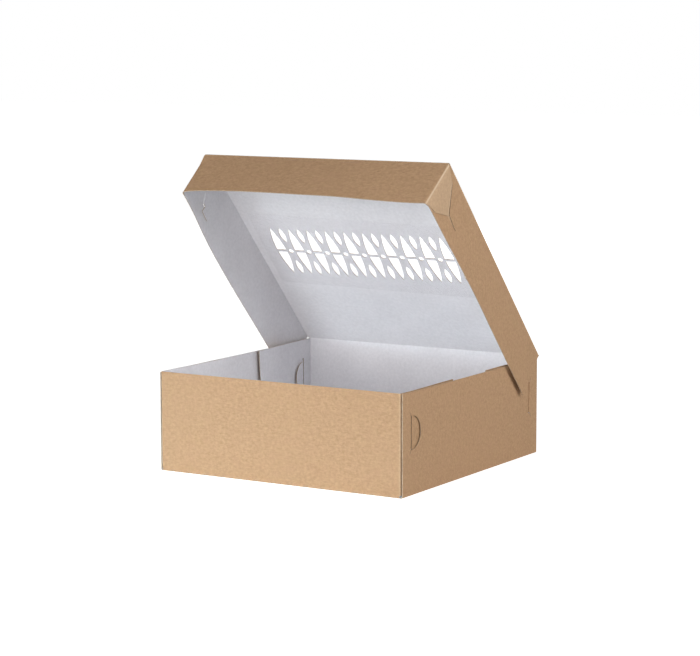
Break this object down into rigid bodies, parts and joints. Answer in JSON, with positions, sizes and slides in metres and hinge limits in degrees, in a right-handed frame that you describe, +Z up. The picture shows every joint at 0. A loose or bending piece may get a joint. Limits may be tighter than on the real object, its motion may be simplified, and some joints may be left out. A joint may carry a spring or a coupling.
{
  "type": "dessert box with lid",
  "caption": "Square folded board box for cakes: a tray with half-moon corner locks and a hinged cap lid with a film-backed die-cut band.",
  "frame": {"origin": "middle of the tray's underside, on the table", "axes": "+Z up, +Y towards the back wall that carries the lid's crease, +X to the right seen from the front"},
  "size_m": [0.2246, 0.22, 0.2452],
  "materials": {
    "board": "kraft outside, white coated inside",
    "film": "clear"
  },
  "bodies": {
    "tray": {"tray": "board"},
    "lid": {"lid": "board", "window_film": "film"}
  },
  "joints": [
    {"name": "lid_hinge", "type": "hinge", "parent": "tray", "child": "lid", "pos_m": [0, 0.1097, 0.08], "axis": [-1, 0, 0], "range_deg": [-47.5, 132.5]}
  ]
}
